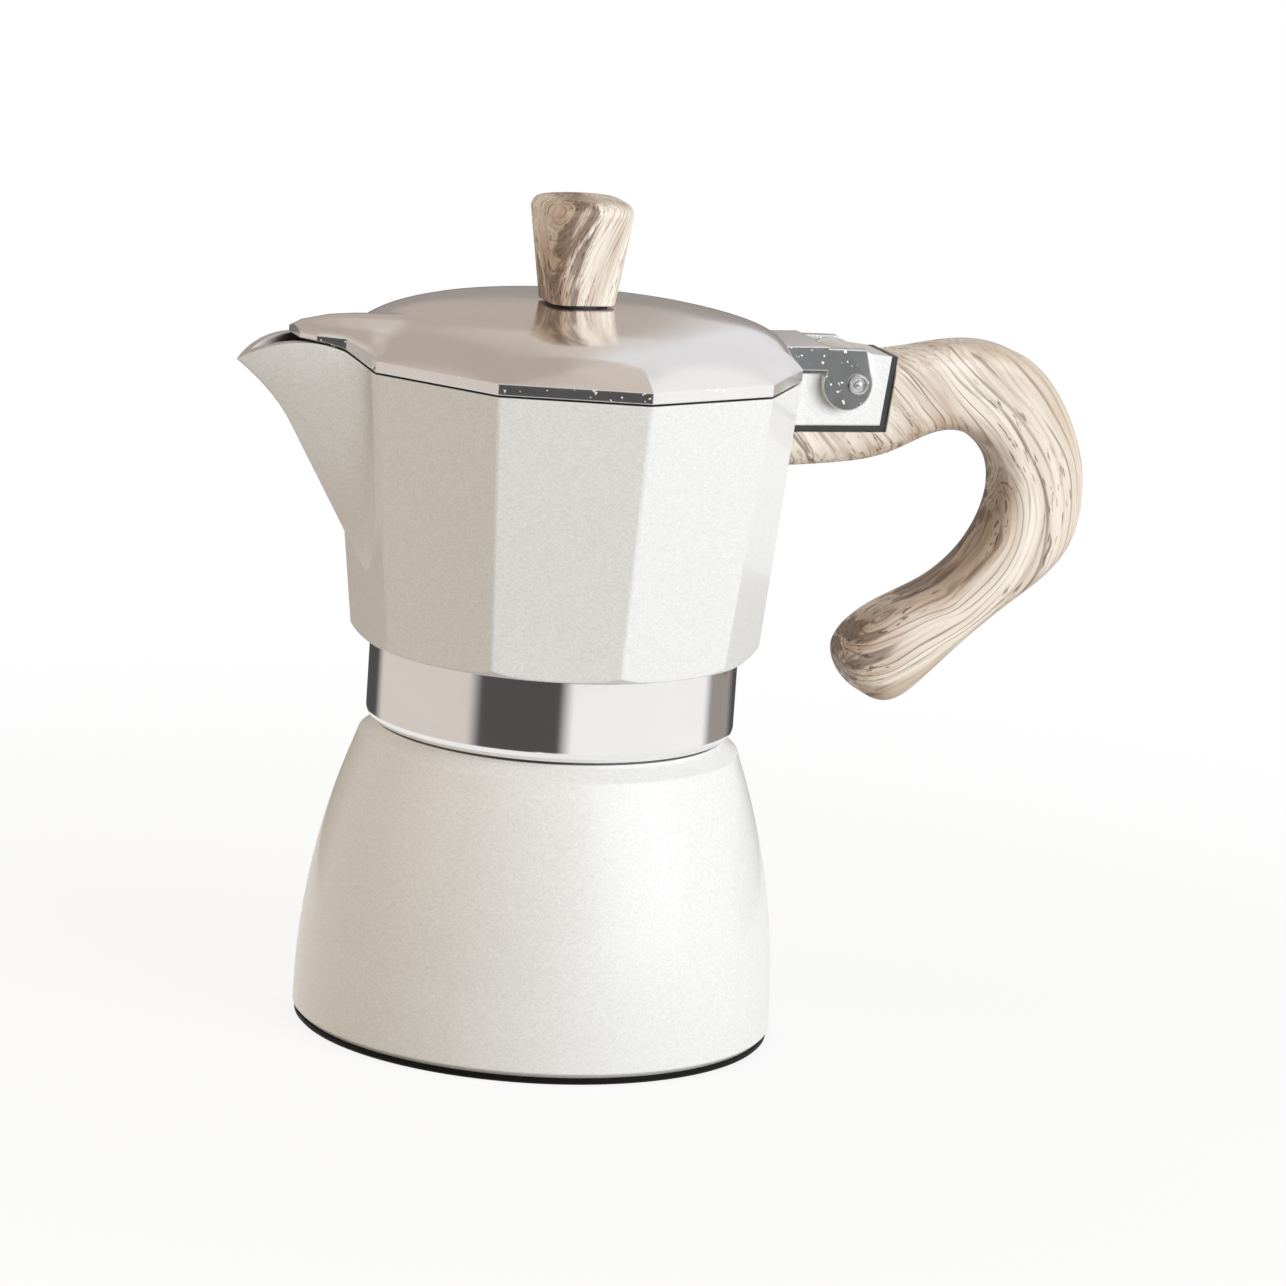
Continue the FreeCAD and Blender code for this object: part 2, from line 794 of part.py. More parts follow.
knob_seat = lid_dome_top
knob_bottom = knob_seat + knob_washer_height
knob_top = knob_bottom + knob_height
screw_head_top = lid_dome_top - lid_wall


def rounded_square(side, corner, z):
    half = side / 2
    plate = Part.makeBox(side, side, overlap, V(-half, -half, z))
    plate = plate.makeFillet(corner, upright_edges(plate))
    floor = [face for face in plate.Faces if face.BoundBox.ZMax < z + near]
    return floor[0].OuterWire


def make_knob_washer():
    washer = rod_z(knob_washer_radius, knob_seat, knob_bottom)
    return washer.cut(rod_z(knob_screw_radius, knob_seat, knob_bottom))


def make_knob():
    body = Part.makeLoft([
        rounded_square(knob_bottom_side, knob_bottom_corner, knob_bottom),
        rounded_square(knob_top_side, knob_top_corner, knob_top),
    ], True, True)
    crown = Part.makeSphere(knob_crown_radius, V(0, 0, knob_top - knob_crown_radius))
    body = body.common(crown)
    top_edges = [edge for edge in body.Edges if edge.BoundBox.ZMin > knob_top - knob_edge_round]
    body = body.makeFillet(knob_edge_round, top_edges)
    return body.cut(rod_z(knob_screw_radius, knob_bottom, knob_bottom + knob_screw_depth))


def make_knob_screw():
    head = rod_z(knob_screw_head_radius, screw_head_top - knob_screw_head_height, screw_head_top)
    return joined(head, rod_z(knob_screw_radius, screw_head_top, knob_bottom + knob_screw_depth))


# Handle

def facet_x(z):
    """Handle facet of the chamber at height z."""
    return blend(z, foot_apothem, handle_rim_apothem)


seat_under = block_bottom - seat_thickness
tongue_bottom = seat_under - handle_tongue
seat_corner = block_end_bottom + seat_thickness
seat_back = block_end_top + seat_thickness


def make_handle_seat():
    return slab_xz([
        (facet_x(block_bottom), block_bottom),
        (block_end_bottom, block_bottom),
        (block_end_top, block_back),
        (seat_back, block_back),
        (seat_corner, seat_under),
        (facet_x(seat_under) + seat_thickness, seat_under),
        (facet_x(tongue_bottom) + seat_thickness, tongue_bottom),
        (facet_x(tongue_bottom), tongue_bottom),
    ], -block_half, block_half).cut(
        rod_z(handle_screw_radius, seat_under, block_bottom, handle_screw_x))


def make_handle():
    start = V(seat_back, -handle_half, block_back)
    end = V(facet_x(tongue_bottom) + seat_thickness, -handle_half, tongue_bottom)
    curve = Part.BSplineCurve()
    places = [V(pin_x + x, -handle_half, pin_z + z) for x, z in handle_curve]
    curve.interpolate([start] + places + [end])
    path = [
        end,
        V(facet_x(seat_under) + seat_thickness, -handle_half, seat_under),
        V(seat_corner, -handle_half, seat_under),
        start,
    ]
    edges = [curve.toShape()] + [Part.makeLine(a, b) for a, b in zip(path, path[1:])]
    grip = Part.Face(Part.Wire(edges)).extrude(V(0, 2 * handle_half, 0))
    long_edges = [edge for edge in grip.Edges if edge.Length > 2 * (block_back - tongue_bottom)]
    grip = grip.makeFillet(handle_round, long_edges)
    head_room = tongue_bottom + handle_screw_recess + handle_screw_head_height
    return grip.cut([
        rod_z(handle_screw_head_radius, tongue_bottom - overlap, head_room, handle_screw_x),
        rod_z(handle_screw_radius, tongue_bottom, seat_under, handle_screw_x),
    ])


def make_handle_screw():
    head_bottom = tongue_bottom + handle_screw_recess
    head_top = head_bottom + handle_screw_head_height
    head = rod_z(handle_screw_head_radius, head_bottom, head_top, handle_screw_x)
    shank = rod_z(handle_screw_radius, head_top, block_bottom + handle_screw_reach, handle_screw_x)
    return joined(head, shank)


pieces = {
    "base_plate": make_base_plate,
    "boiler": make_boiler,
    "valve_seal": make_valve_seal,
    "valve_body": make_valve_body,
    "valve_seat": make_valve_seat,
    "valve_plunger": make_valve_plunger,
    "valve_spring": make_valve_spring,
    "funnel": make_funnel,
    "funnel_disc": make_funnel_disc,
    "gasket": make_gasket,
    "filter_plate": make_filter_plate,
    "collar": make_collar,
    "upper_chamber": make_upper_chamber,
    "coffee_column": make_column,
    "lid": make_lid,
    "hinge_pin": make_hinge_pin,
    "knob_washer": make_knob_washer,
    "knob": make_knob,
    "knob_screw": make_knob_screw,
    "handle_seat": make_handle_seat,
    "handle": make_handle,
    "handle_screw": make_handle_screw,
}

for name, make in pieces.items():
    shape = make()
    box = shape.optimalBoundingBox()
    print("%-14s solids %d valid %s volume %.0f x %.1f..%.1f y %.1f..%.1f z %.1f..%.1f" % (
        name, len(shape.Solids), shape.isValid(), shape.Volume,
        box.XMin, box.XMax, box.YMin, box.YMax, box.ZMin, box.ZMax))
    shape.exportStep("parts/%s.step" % name)
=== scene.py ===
import bmesh
import bpy
import math
import numpy as np
from mathutils import Matrix, Vector


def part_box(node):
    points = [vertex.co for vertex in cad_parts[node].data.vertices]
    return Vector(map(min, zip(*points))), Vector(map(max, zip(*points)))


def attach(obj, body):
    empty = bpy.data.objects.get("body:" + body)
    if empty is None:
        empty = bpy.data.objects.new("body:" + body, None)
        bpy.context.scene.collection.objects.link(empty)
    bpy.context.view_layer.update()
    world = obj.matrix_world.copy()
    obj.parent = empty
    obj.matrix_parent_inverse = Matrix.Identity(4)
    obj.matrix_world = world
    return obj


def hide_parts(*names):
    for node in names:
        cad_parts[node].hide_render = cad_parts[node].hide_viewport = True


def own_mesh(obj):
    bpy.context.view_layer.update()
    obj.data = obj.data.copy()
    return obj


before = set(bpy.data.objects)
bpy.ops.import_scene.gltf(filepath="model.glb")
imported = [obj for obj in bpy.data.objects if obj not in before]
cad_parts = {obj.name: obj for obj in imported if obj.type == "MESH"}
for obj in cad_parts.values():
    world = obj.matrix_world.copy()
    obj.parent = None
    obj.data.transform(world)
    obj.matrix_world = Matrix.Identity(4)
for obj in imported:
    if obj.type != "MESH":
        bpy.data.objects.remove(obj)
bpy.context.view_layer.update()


# Base plate: a steel disc pressed into the foot of the pot. It stands on the hob,
# so its face is turned in fine rings, with brown heat tint in patches. Its outer edge is
# painted near black: a painted contact shadow where the pot stands on the floor.

class Link:
    """One socket of a finish. Sums and products of links add Math nodes to it."""

    def __init__(self, tree, socket=None):
        self.tree = tree
        self.socket = socket

    def node(self, kind, settings=(), inputs=(), output=0):
        """A new node: its settings first, then its inputs' values or links. Gives one output."""
        made = self.tree.nodes.new("ShaderNode" + kind)
        for key, value in dict(settings).items():
            if key == "stops":
                stops = made.color_ramp.elements
                for place, _ in value[1:-1]:
                    stops.new(place)
                for stop, (place, colour) in zip(stops, value):
                    stop.position = place
                    stop.color = (*colour, 1.0)
            else:
                setattr(made, key, value)
        for key, value in dict(inputs).items():
            if isinstance(value, Link):
                self.tree.links.new(value.socket, made.inputs[key])
            else:
                made.inputs[key].default_value = value
        return Link(self.tree, made.outputs[output] if made.outputs else None)

    def math(self, operation, *values):
        return self.node("Math", {"operation": operation}, dict(enumerate(values)))

    def __add__(self, other):
        return self.math("ADD", self, other)

    def __sub__(self, other):
        return self.math("SUBTRACT", self, other)

    def __rsub__(self, other):
        return self.math("SUBTRACT", other, self)

    def __mul__(self, other):
        return self.math("MULTIPLY", self, other)

    def __gt__(self, other):
        return self.math("GREATER_THAN", self, other)

    def __lt__(self, other):
        return self.math("LESS_THAN", self, other)

    __radd__ = __add__
    __rmul__ = __mul__


def new_finish(name, fixed):
    """A finish with these fixed values, its shader, and a link to the place on the object."""
    finish = bpy.data.materials.new(name)
    finish.use_nodes = True
    shader = finish.node_tree.nodes["Principled BSDF"]
    for key, value in fixed.items():
        shader.inputs[key].default_value = value
    return finish, shader, Link(finish.node_tree).node("TexCoord", output="Object")


def feed(shader, **links):
    """Links into a shader's sockets, with _ for a space in the socket's name."""
    for name, link in links.items():
        link.tree.links.new(link.socket, shader.inputs[name.replace("_", " ")])


def stretched(place, x, y, z):
    """The place with its three measures scaled."""
    return place.node("VectorMath", {"operation": "MULTIPLY"}, {0: place, 1: (x, y, z)})


def cloud(place, scale, detail=2.0, distortion=0.0):
    """Soft noise at a place, about 0.5 on average."""
    inputs = {"Vector": place, "Scale": scale, "Detail": detail, "Distortion": distortion}
    return place.node("TexNoise", {}, inputs, "Fac")


def tint(amount, low, high):
    """Colour between low and high."""
    return amount.node("Mix", {"data_type": "RGBA"}, {0: amount, 6: low, 7: high}, 2)


def spread(value, low, high):
    """0 below low, 1 above high, smooth between."""
    limits = {"Value": value, "From Min": low, "From Max": high}
    return value.node("MapRange", {"interpolation_type": "SMOOTHSTEP"}, limits)


def relief(height, depth, edge_radius):
    """Normal for a height pattern that is this deep, with edges worn to a radius, in metres."""
    worn = height.node("Bevel", {"samples": 6}, {"Radius": edge_radius}, "Normal")
    return height.node("Bump", {}, {"Distance": depth, "Height": height, "Normal": worn}, "Normal")


def axes(place):
    """The three measures of a place or a direction."""
    return [place.node("SeparateXYZ", {}, {0: place}, axis) for axis in "XYZ"]


def axis_distance(place):
    """Distance from the pot's axis."""
    flat = stretched(place, 1, 1, 0)
    return flat.node("VectorMath", {"operation": "LENGTH"}, {0: flat}, "Value")


def dress(node, finish):
    """Puts a finish on a solid of the frame."""
    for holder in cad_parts[node].material_slots:
        holder.material = finish


plate_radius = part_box("base_plate")[1][0]
# The last two millimetres of the plate's edge are painted near black: a painted contact shadow.
shadow_start, shadow_full = plate_radius - 0.0021, plate_radius - 0.0004
grey_steel = (0.40, 0.39, 0.38, 1)
browned_steel = (0.24, 0.22, 0.20, 1)
# Near black for the painted contact shadow on the plate's edge.
shadow_black = (0.012, 0.011, 0.010, 1)
heat_tint_and_shadow_steel, shader, place = new_finish("heat_tint_and_shadow_steel", {"Metallic": 1.0})
reach = axis_distance(place)
rings = cloud(reach.node("CombineXYZ", {}, {0: reach}), 2600.0)
# Mask of the painted contact shadow on the plate's outer edge.
edge = spread(reach, shadow_start, shadow_full)
burn = tint(cloud(place, 60.0, 3.0), grey_steel, browned_steel)
feed(
    shader,
    Base_Color=tint(edge, burn, shadow_black),
    Roughness=0.32 + rings * 0.2 + edge * 0.2,
    Normal=relief(rings, 0.00004, 0.0002),
)
dress("base_plate", heat_tint_and_shadow_steel)


# Boiler: cast and turned aluminium, sprayed outside with pearl-white paint that has a
# fine sparkle. The neck above the step and the inside stay bare metal.

collar_low, collar_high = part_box("collar")
boiler_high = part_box("boiler")[1]
neck_step = collar_low[2] - 0.0005
boiler_inside = boiler_high[0] - 0.0025
floor_limit = 0.020
paint_grey = (0.725, 0.705, 0.68, 1)
paint_bright = (0.875, 0.87, 0.855, 1)
cast_grey = (0.60, 0.595, 0.585, 1)
cast_bright = (0.78, 0.775, 0.765, 1)


def pearl_colours(place):
    """Paint with small flakes, some grey and some bright, and its bare-metal partner."""
    flakes = place.node("TexVoronoi", {"feature": "F1"}, {"Vector": place, "Scale": 3300.0}, "Color")
    glint = flakes.node("SeparateColor", {}, {0: flakes}, "Red")
    mist = cloud(place, 2100.0, 2.0)
    paint = tint(glint * 0.6 + mist * 0.4, paint_grey, paint_bright)
    turned = cloud(stretched(place, 60, 60, 2200), 1.0, 3.0)
    metal = tint(turned, cast_grey, cast_bright)
    return paint, metal, glint, turned


def pearl_finish(name, bare_of):
    """Pearl paint outside and bare metal where bare_of says."""
    lacquer = {"Coat Roughness": 0.10, "Coat IOR": 1.5, "Specular IOR Level": 0.35}
    finish, shader, place = new_finish(name, lacquer)
    paint, metal, glint, turned = pearl_colours(place)
    bare = bare_of(place, place.node("TexCoord", output="Normal"))
    skin = cloud(place, 800.0, 2.0)
    feed(
        shader,
        Base_Color=tint(bare, paint, metal),
        Metallic=bare,
        Roughness=(1 - bare) * (0.36 + glint * 0.12) + bare * (0.26 + turned * 0.14),
        Coat_Weight=(1 - bare) * 0.35,
        Normal=relief(skin * (1 - bare) + turned * bare * 0.6, 0.000012, 0.0005),
    )
    return finish


def facing_axis(place, normal):
    """1 where a wall faces the pot's axis."""
    slack = 0.002
    flat = stretched(place, 1, 1, 0)
    outward = flat.node("VectorMath", {"operation": "DOT_PRODUCT"}, {0: flat, 1: normal}, "Value")
    return outward < -slack


def either(first, second):
    """1 where one of two masks is 1."""
    return first.math("MAXIMUM", first, second)


def bare_boiler(place, normal):
    """1 on the boiler's inner wall, its inner floor and its neck."""
    up = axes(place)[2]
    floor = (axis_distance(place) < boiler_inside) * (axes(normal)[2] > 0.7) * (up < floor_limit)
    return either(either(facing_axis(place, normal), up > neck_step), floor)


dress("boiler", pearl_finish("pearl_boiler", bare_boiler))


# Neck thread: a shallow right-hand thread rolled round the boiler's neck. The collar
# screws down on it, 3 mm a turn, and it shows only when the pot is open.

thread_low = neck_step + 0.0011
thread_high = boiler_high[2] - 0.0004
thread_lead = 0.003
thread_runout = 0.0012
thread_root = 0.03135
thread_depth = 0.00027
thread_steepness = 1.6
thread_inside = 0.0310
thread_turns, thread_rows = 180, 60


def thread_radius(z, turn):
    """Radius of the thread at a height and a share of a turn. It runs out at both ends."""
    phase = (z / thread_lead - turn) % 1.0
    ease = min(1.0, (z - thread_low) / thread_runout, (thread_high - z) / thread_runout)
    flank = thread_steepness * (1 - abs(2 * phase - 1))
    return thread_root + thread_depth * max(0.0, ease) * min(1.0, flank)


def inside_radius(z, turn):
    """Radius of the ring's back, which is sunk in the neck's wall."""
    return thread_inside


def mesh_of(name, form):
    """Mesh with the faces of a bmesh form, which is then let go."""
    mesh = bpy.data.meshes.new(name)
    form.to_mesh(mesh)
    form.free()
    return mesh


def placed(name, data):
    """Object with this mesh, lamp or camera, linked into the scene."""
    made = bpy.data.objects.new(name, data)
    bpy.context.scene.collection.objects.link(made)
    return made


def ring_of(form, radius_at, z):
    """One ring of the thread's corners at a height."""
    corners = []
    for step in range(thread_turns):
        angle = 2 * math.pi * step / thread_turns
        radius = radius_at(z, step / thread_turns)
        corners.append(form.verts.new((radius * math.cos(angle), radius * math.sin(angle), z)))
    return corners


thread = bmesh.new()
thread_length = thread_high - thread_low
heights = [thread_low + thread_length * row / thread_rows for row in range(thread_rows + 1)]
outer = [ring_of(thread, thread_radius, z) for z in heights]
inner = [ring_of(thread, inside_radius, z) for z in heights]
loops = outer + inner[::-1]
for here, there in zip(loops, loops[1:] + loops[:1]):
    for step in range(thread_turns):
        after = (step + 1) % thread_turns
        thread.faces.new((here[step], here[after], there[after], there[step]))
bmesh.ops.recalc_face_normals(thread, faces=thread.faces)
neck_thread = placed("neck_thread", mesh_of("neck_thread", thread))
neck_thread.data.shade_smooth()

satin_grey = (0.56, 0.555, 0.545, 1)
satin_bright = (0.80, 0.795, 0.785, 1)
satin_metal, shader, place = new_finish("satin_metal", {"Metallic": 1.0})
draw_marks = cloud(stretched(place, 120, 120, 1500), 1.0, 3.0)
water_marks = cloud(place, 90.0, 4.0, 0.6)
feed(
    shader,
    Base_Color=tint(draw_marks * 0.6 + water_marks * 0.4, satin_grey, satin_bright),
    Roughness=0.22 + draw_marks * 0.14 + water_marks * 0.10,
    Normal=relief(draw_marks, 0.00002, 0.0002),
)
neck_thread.data.materials.append(satin_metal)
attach(neck_thread, "boiler")


# Safety valve: a brass hexagon screwed into the boiler's back wall on a sealing ring,
# with a spring-held plunger inside that lifts if the pressure gets too high.

dull_brass = (0.42, 0.28, 0.11, 1)
bright_brass = (0.80, 0.62, 0.32, 1)
turned_brass, shader, place = new_finish("turned_brass", {"Metallic": 1.0})
tool_marks = cloud(stretched(place, 300, 2600, 300), 1.0, 3.0)
tarnish = cloud(place, 350.0, 3.0, 0.5)
feed(
    shader,
    Base_Color=tint(tarnish * 0.6 + tool_marks * 0.4, dull_brass, bright_brass),
    Roughness=0.22 + tool_marks * 0.16 + tarnish * 0.08,
    Normal=relief(tool_marks, 0.00002, 0.0003),
)
for node in ("valve_body", "valve_seat", "valve_plunger"):
    dress(node, turned_brass)

wire_grey = (0.50, 0.50, 0.50, 1)
wire_bright = (0.74, 0.735, 0.73, 1)
drawn_steel, shader, place = new_finish("drawn_steel", {"Metallic": 1.0})
die_marks = cloud(stretched(place, 1400, 1400, 500), 1.0, 3.0)
feed(
    shader,
    Base_Color=tint(die_marks, wire_grey, wire_bright),
    Roughness=0.20 + die_marks * 0.18,
    Normal=relief(die_marks, 0.00002, 0.0001),
)

# In the real valve the spring shortens as the plunger lifts; here it gets a mesh of its own on the
# boiler.
spring_coil = placed("spring_coil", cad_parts["valve_spring"].data.copy())
spring_coil.data.materials.clear()
spring_coil.data.materials.append(drawn_steel)
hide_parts("valve_spring")
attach(spring_coil, "boiler")
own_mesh(spring_coil)


# Funnel and its disc: spun aluminium that holds the ground coffee in the boiler's neck.
# The disc at the bottom of the basket is punched with rings of holes.

for node in ("funnel", "funnel_disc"):
    dress(node, satin_metal)


# Gasket, valve ring and filter plate: a pale silicone ring seals the collar, and the
# punched filter plate lies in its step.

silicone_dusty = (0.70, 0.68, 0.63, 1)
silicone_clean = (0.84, 0.83, 0.79, 1)
soft_glow = {"Subsurface Weight": 0.05, "Subsurface Radius": (0.002, 0.0018, 0.0015)}
silicone, shader, place = new_finish("silicone", soft_glow)
mould_skin = cloud(place, 700.0, 4.0)
dust = cloud(place, 160.0, 3.0)
feed(
    shader,
    Base_Color=tint(dust, silicone_dusty, silicone_clean),
    Roughness=0.48 + mould_skin * 0.2,
    Normal=relief(mould_skin, 0.00003, 0.0003),
)
for node in ("gasket", "valve_seal"):
    dress(node, silicone)
dress("filter_plate", satin_metal)


# Collar: the plain metal band of the upper half that screws down on the neck. It is
# turned and polished to a mirror, with hairline marks round it.

mirror_smeared = (0.82, 0.81, 0.80, 1)
mirror_clean = (0.90, 0.893, 0.885, 1)
mirror_metal, shader, place = new_finish("mirror_metal", {"Metallic": 1.0})
hairlines = cloud(stretched(place, 20, 20, 3600), 1.0, 3.0)
smears = cloud(stretched(place, 40, 40, 90), 1.0, 3.0, 0.8)
feed(
    shader,
    Base_Color=tint(smears, mirror_smeared, mirror_clean),
    Roughness=0.06 + hairlines * 0.03 + smears * 0.04,
    Normal=relief(hairlines, 0.0000008, 0.0004),
)
dress("collar", mirror_metal)


# Upper chamber: ten tapering facets cast in one piece with the beak spout and the hinge
# block. It is pearl painted outside; the inside, the rim and the lip are bare metal.

rim_height = 0.1260
block_start = 0.0440
lowest_paint = collar_high[2] + 0.0001


def bare_chamber(place, normal):
    """1 on the chamber's inner wall and floor, on its rim and lip, and under its foot."""
    ahead, _, up = axes(place)
    rise = axes(normal)[2]
    wall = facing_axis(place, normal) * (ahead < block_start)
    floor = (rise > 0.5) * (up < 0.1)
    lip = (rise > 0.45) * (up > rim_height - 0.0004) * (ahead < block_start)
    return either(either(wall, floor), either(lip, up < lowest_paint))


dress("upper_chamber", pearl_finish("pearl_chamber", bare_chamber))


# Coffee column: the tapering pipe in the middle of the chamber. Coffee wells up through
# it and out of the two ports under its cap.

dress("coffee_column", satin_metal)


# Lid: pressed and polished metal with a ten-sided rim, a dome, a hood over the spout and
# two ears on the hinge. The dome is a little softer than the rim, with rubbing marks.

hood_full, hood_start = -0.031, -0.025
rim_edge, hood_edge = 0.00035, 0.004
lid_dull = (0.80, 0.785, 0.77, 1)
lid_bright = (0.87, 0.86, 0.85, 1)


def fading(value, low, high):
    """1 below low, 0 above high, smooth between."""
    return 1 - spread(value, low, high)


lid_metal, shader, place = new_finish("lid_metal", {"Metallic": 1.0})
rub_marks = cloud(stretched(place, 420, 70, 300), 1.0, 4.0, 0.3)
breath = cloud(place, 45.0, 3.0, 0.4)
pits = spread(cloud(place, 1050.0, 2.0), 0.67, 0.72)
side = fading(axes(place.node("TexCoord", output="Normal"))[2], 0.1, 0.5)
polish = tint(breath * 0.7 + rub_marks * 0.3, lid_dull, lid_bright)
hood = fading(axes(place)[0], hood_full, hood_start) * (1 - side)
crisp = place.node("Bevel", {"samples": 6}, {"Radius": rim_edge}, "Normal")
rolled = place.node("Bevel", {"samples": 12}, {"Radius": hood_edge}, "Normal")
rounding = place.node("Mix", {"data_type": "VECTOR"}, {0: hood, 4: crisp, 5: rolled}, 1)
marks = {"Distance": 0.00001, "Height": rub_marks * 0.12 + pits * side * 2.0, "Normal": rounding}
feed(
    shader,
    Base_Color=polish,
    Roughness=0.09 + rub_marks * 0.05 + breath * 0.05 + pits * 0.4 * side,
    Normal=place.node("Bump", {}, marks, "Normal"),
)
dress("lid", lid_metal)


# Hinge pin: a steel rivet through the block and both ears of the lid. Each end is spun
# over into a collar with a groove round its middle button.

def soften(form, crease):
    """Smooth shading, apart from edges that bend by more than crease, in radians."""
    for face in form.faces:
        face.smooth = True
    for edge in form.edges:
        edge.smooth = edge.calc_face_angle(0.0) < crease


def turned_piece(name, profile):
    """Closed body turned about Z from (radius, height) pairs that start and end on the axis."""
    steps, crease = 64, 0.6
    angles = [2 * math.pi * step / steps for step in range(steps)]
    form = bmesh.new()
    rows = []
    for radius, height in profile[1:-1]:
        places = [(radius * math.cos(angle), radius * math.sin(angle), height) for angle in angles]
        rows.append([form.verts.new(corner) for corner in places])
    ends = [form.verts.new((0, 0, profile[k][1])) for k in (0, -1)]
    for step in range(steps):
        after = (step + 1) % steps
        form.faces.new((ends[0], rows[0][step], rows[0][after]))
        for here, there in zip(rows, rows[1:]):
            form.faces.new((here[step], here[after], there[after], there[step]))
        form.faces.new((ends[1], rows[-1][after], rows[-1][step]))
    bmesh.ops.recalc_face_normals(form, faces=form.faces)
    soften(form, crease)
    return placed(name, mesh_of(name, form))


pin_low, pin_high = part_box("hinge_pin")
pin_middle = [(a + b) / 2 for a, b in zip(pin_low, pin_high)]
pin_end = (pin_high[1] - pin_low[1]) / 2
head_radius, head_depth = 0.0019, 0.0007
button_radius, groove_radius, groove_depth = 0.0009, 0.00125, 0.00065
shank_radius = 0.0015

# Outline of one end, (radius, depth below the end): button, groove, rounded collar and shank.
rivet_outline = [
    (0.0, 0.0), (0.0005, 0.00008), (0.0008, 0.00030), (button_radius, groove_depth),
    (groove_radius, groove_depth), (0.00135, 0.00020), (0.0015, 0.0), (0.0016, 0.0),
    (head_radius, 0.00035), (head_radius, head_depth), (shank_radius, head_depth),
]
rivet_end = [(radius, pin_end - depth) for radius, depth in rivet_outline]
rivet = turned_piece("hinge_rivet", rivet_end + [(r, -h) for r, h in reversed(rivet_end)])
rivet.data.transform(Matrix.Translation(pin_middle) @ Matrix.Rotation(math.radians(90), 4, "X"))
rivet.data.materials.append(drawn_steel)
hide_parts("hinge_pin")
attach(rivet, "upper")


# Knob, washer and screw: a moulded square knob with a printed wood grain, held from
# inside the lid by a screw. A black washer keeps it off the polished dome.

pale_wood = (0.87, 0.785, 0.68, 1)
tan_wood = (0.50, 0.365, 0.265, 1)
hair_brown = (0.40, 0.275, 0.185, 1)
ring_brown = (0.225, 0.135, 0.088, 1)
streak_brown = (0.135, 0.082, 0.056, 1)
pore_brown = (0.075, 0.045, 0.030, 1)


def wood_print(name, grain_of):
    """Pale wood-grain print. grain_of gives the place with X along the grain, and how much darker to
    paint it there, which on the bow is painted shade.
    """
    finish, shader, place = new_finish(name, {"Specular IOR Level": 0.4})
    grain, dark = grain_of(place)
    along, across, deep = axes(grain)
    sway = (cloud(stretched(grain, 30, 75, 60), 1.0, 2.0) - 0.5) * 0.007
    flow = along.node("CombineXYZ", {}, {0: along, 1: across + sway, 2: deep + sway})
    # dark, from grain_of, darkens the tone and brings out rings, hairs, streaks and pores; on the
    # handle's bow it is painted shade.
    tone = spread(cloud(stretched(flow, 13, 170, 90), 1.0, 3.0, 0.2) - dark * 0.20, 0.20, 0.68)
    wander = cloud(stretched(flow, 12, 120, 80), 1.0, 2.0) * 6.0
    growth = across * 640 + deep * 220 + sway * 390 + wander
    rings = fading(growth.math("PINGPONG", growth, 0.5), 0.03, 0.17)
    rings = rings * spread(cloud(stretched(flow, 36, 420, 300), 1.0, 2.0) + dark * 0.08, 0.38, 0.60)
    hairs = spread(cloud(stretched(flow, 30, 1350, 850), 1.0, 3.0), 0.49, 0.64)
    streaks = spread(cloud(stretched(flow, 11, 340, 200), 1.0, 3.0, 0.3) + dark * 0.17, 0.60, 0.68)
    clusters = spread(cloud(stretched(flow, 40, 160, 120), 1.0, 2.0) + dark * 0.1, 0.46, 0.60)
    pores = spread(cloud(stretched(flow, 260, 1700, 1400), 1.0, 2.0), 0.60, 0.66) * clusters
    ground = tint(tone, tan_wood, pale_wood)
    haired = tint(hairs * (0.42 + dark * 0.3), ground, hair_brown)
    ringed = tint(rings * 0.70, haired, ring_brown)
    streaked = tint(streaks * 0.72, ringed, streak_brown)
    flecked = tint(pores * 0.75, streaked, pore_brown)
    feed(
        shader,
        Base_Color=flecked,
        Roughness=0.40 + hairs * 0.10 + pores * 0.2,
        Normal=relief(1 - rings * 0.4 - pores * 0.6 - streaks * 0.3, 0.00006, 0.0003),
    )
    return finish


knob_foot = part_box("knob")[0][2]


def knob_grain(place):
    """The grain climbs the knob and bends over to the right at the top. A dark band runs up it, and
    the colour is darker towards the left.
    """
    ahead, aside, up = axes(place)
    climb = up - knob_foot
    across = ahead - climb * climb * 14.0 + aside * 0.45
    middle = ahead + 0.0042 - climb * climb * 5.0
    band = fading(middle.math("ABSOLUTE", middle), 0.0012, 0.0048)
    dark = band + fading(ahead, -0.007, -0.001) * 0.35 - 0.30
    return climb.node("CombineXYZ", {}, {0: climb * 1.3, 1: across * 1.8, 2: aside * 1.8}), dark


dress("knob", wood_print("knob_wood", knob_grain))

black_deep = (0.008, 0.008, 0.008, 1)
black_worn = (0.022, 0.021, 0.020, 1)
black_plastic, shader, place = new_finish("black_plastic", {"Specular IOR Level": 0.45})
spark_skin = cloud(place, 1300.0, 3.0)
feed(
    shader,
    Base_Color=tint(spark_skin, black_deep, black_worn),
    Roughness=0.34 + spark_skin * 0.2,
    Normal=relief(spark_skin, 0.00003, 0.0002),
)
dress("knob_washer", black_plastic)


